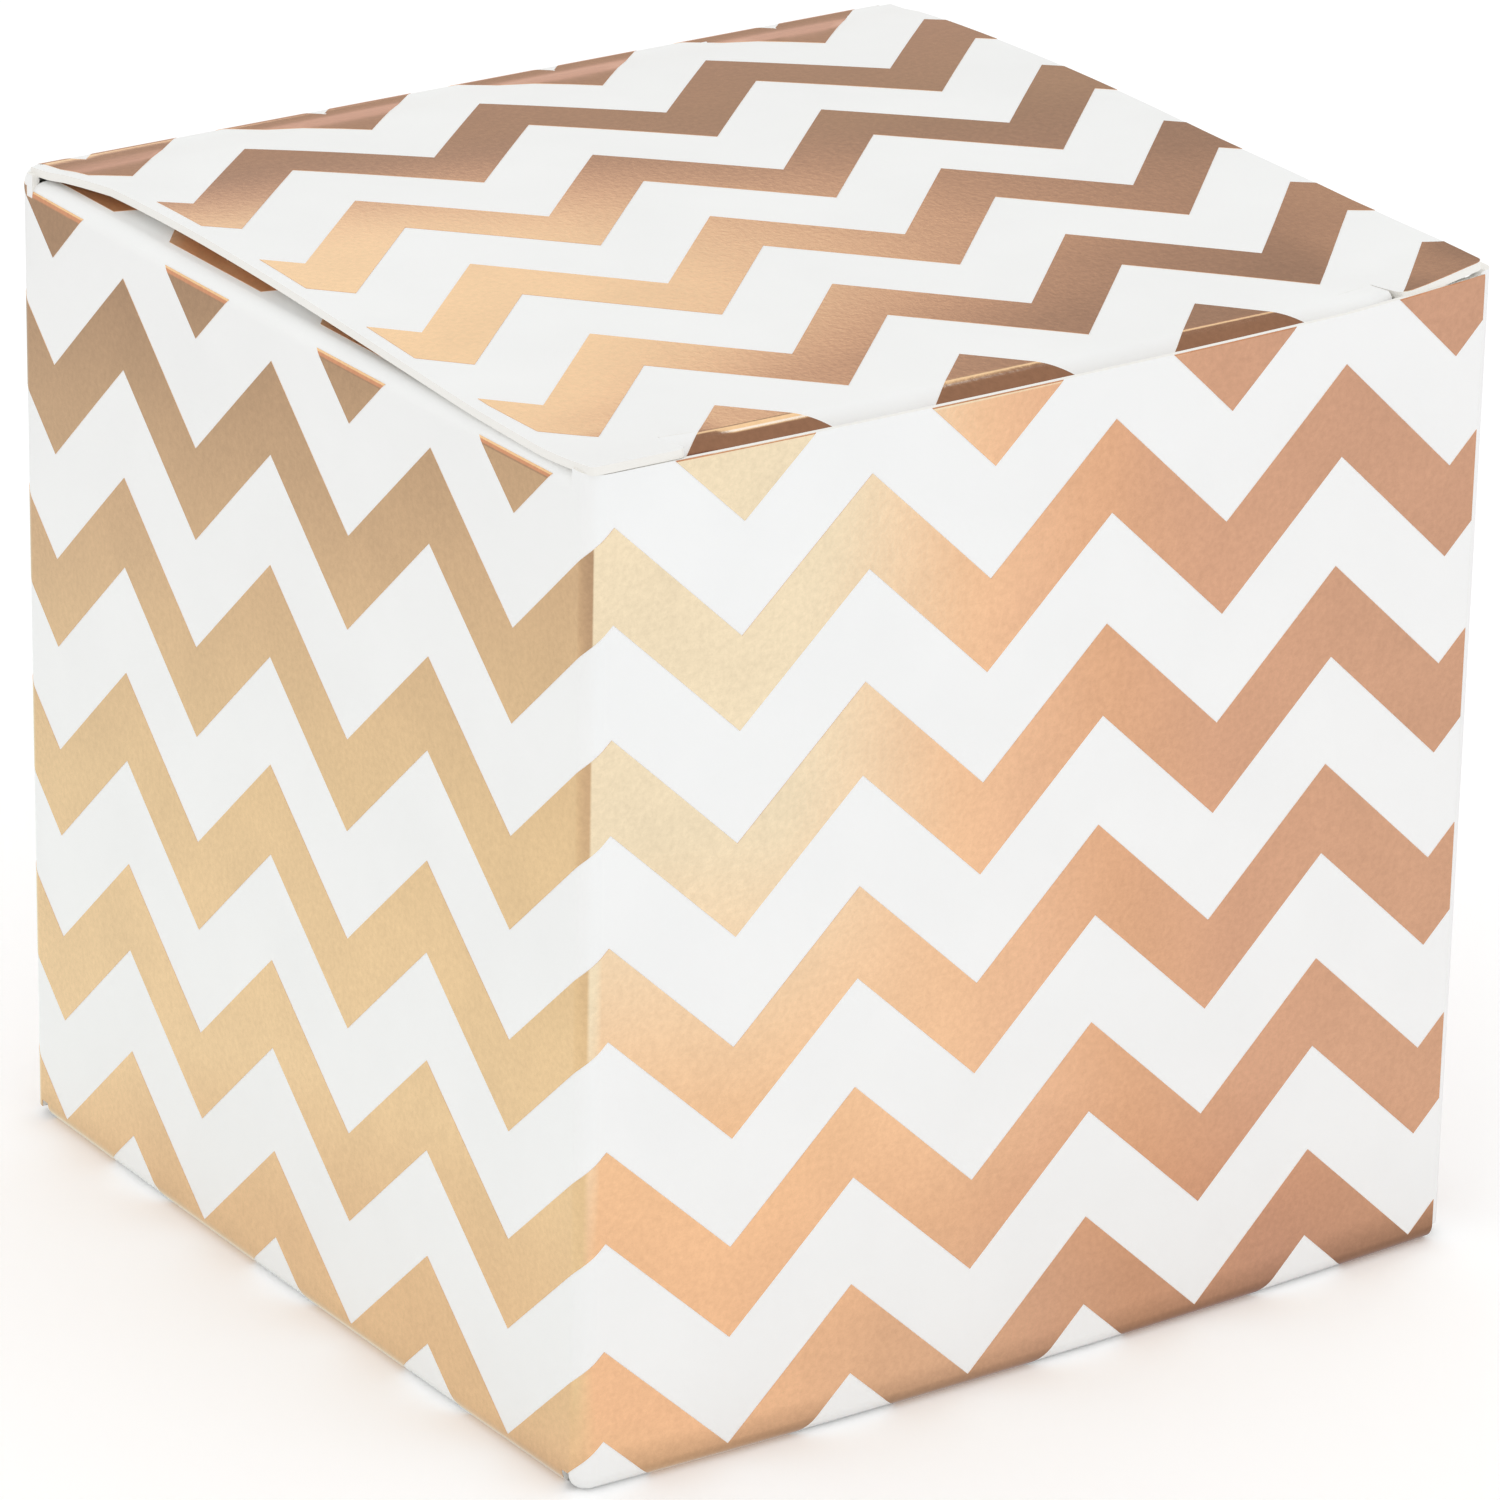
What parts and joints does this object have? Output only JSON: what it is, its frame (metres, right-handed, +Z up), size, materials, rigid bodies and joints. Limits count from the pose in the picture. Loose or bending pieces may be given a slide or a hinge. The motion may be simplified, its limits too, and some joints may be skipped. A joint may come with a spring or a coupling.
{
  "type": "favor box",
  "caption": "Small cube gift box of folding board with foil chevron stripes, a hinged tuck-in lid and base, dust flaps and a glued side seam.",
  "frame": {"origin": "middle of the underside, on the surface the box stands on", "axes": "+Z up, +Y from the front wall (the one the lid tucks behind) to the back wall, +X to the right as the front is seen"},
  "size_m": [0.0508, 0.0504, 0.0507],
  "materials": {
    "board": "coated white folding board, satin",
    "foil": "hot-stamped rose gold foil, satin metallic",
    "glue": "dried dispersion glue"
  },
  "bodies": {
    "sleeve": {"front_wall": "board", "left_wall": "board", "back_wall": "board", "right_wall": "board", "glue_flap": "board", "seam_glue": "glue", "front_foil": "foil", "left_foil": "foil", "back_foil": "foil", "right_foil": "foil"},
    "lid": {"lid_panel": "board", "lid_foil": "foil"},
    "lid_tuck": {"lid_tuck_flap": "board", "lid_tuck_foil": "foil"},
    "top_left_dust": {"top_left_dust_flap": "board", "top_left_dust_foil": "foil"},
    "top_right_dust": {"top_right_dust_flap": "board", "top_right_dust_foil": "foil"},
    "base": {"base_panel": "board", "base_foil": "foil"},
    "base_tuck": {"base_tuck_flap": "board", "base_tuck_foil": "foil"},
    "bottom_left_dust": {"bottom_left_dust_flap": "board", "bottom_left_dust_foil": "foil"},
    "bottom_right_dust": {"bottom_right_dust_flap": "board", "bottom_right_dust_foil": "foil"}
  },
  "joints": [
    {"name": "lid_hinge", "type": "hinge", "parent": "sleeve", "child": "lid", "pos_m": [0, 0.02495, 0.0505], "axis": [-1, 0, 0], "range_deg": [0, 150]},
    {"name": "lid_tuck_crease", "type": "hinge", "parent": "lid", "child": "lid_tuck", "pos_m": [0, -0.0239, 0.0505], "axis": [1, 0, 0], "range_deg": [0, 20]},
    {"name": "top_left_dust_crease", "type": "hinge", "parent": "sleeve", "child": "top_left_dust", "pos_m": [-0.0252, 0, 0.04998], "axis": [0, -1, 0], "range_deg": [0, 76]},
    {"name": "top_right_dust_crease", "type": "hinge", "parent": "sleeve", "child": "top_right_dust", "pos_m": [0.0252, 0, 0.04998], "axis": [0, 1, 0], "range_deg": [0, 76]},
    {"name": "base_hinge", "type": "hinge", "parent": "sleeve", "child": "base", "pos_m": [0, -0.02495, 0.00023], "axis": [-1, 0, 0], "range_deg": [0, 150]},
    {"name": "base_tuck_crease", "type": "hinge", "parent": "base", "child": "base_tuck", "pos_m": [0, 0.0239, 0.00023], "axis": [1, 0, 0], "range_deg": [0, 20]},
    {"name": "bottom_left_dust_crease", "type": "hinge", "parent": "sleeve", "child": "bottom_left_dust", "pos_m": [-0.0252, 0, 0.00075], "axis": [0, 1, 0], "range_deg": [0, 76]},
    {"name": "bottom_right_dust_crease", "type": "hinge", "parent": "sleeve", "child": "bottom_right_dust", "pos_m": [0.0252, 0, 0.00075], "axis": [0, -1, 0], "range_deg": [0, 76]}
  ],
  "couplings": [
    {"joint": "lid_tuck_crease", "follows": "lid_hinge", "ratio": 0.12},
    {"joint": "top_left_dust_crease", "follows": "lid_hinge", "ratio": 0.5},
    {"joint": "top_right_dust_crease", "follows": "lid_hinge", "ratio": 0.5},
    {"joint": "base_tuck_crease", "follows": "base_hinge", "ratio": 0.12},
    {"joint": "bottom_left_dust_crease", "follows": "base_hinge", "ratio": 0.5},
    {"joint": "bottom_right_dust_crease", "follows": "base_hinge", "ratio": 0.5}
  ]
}
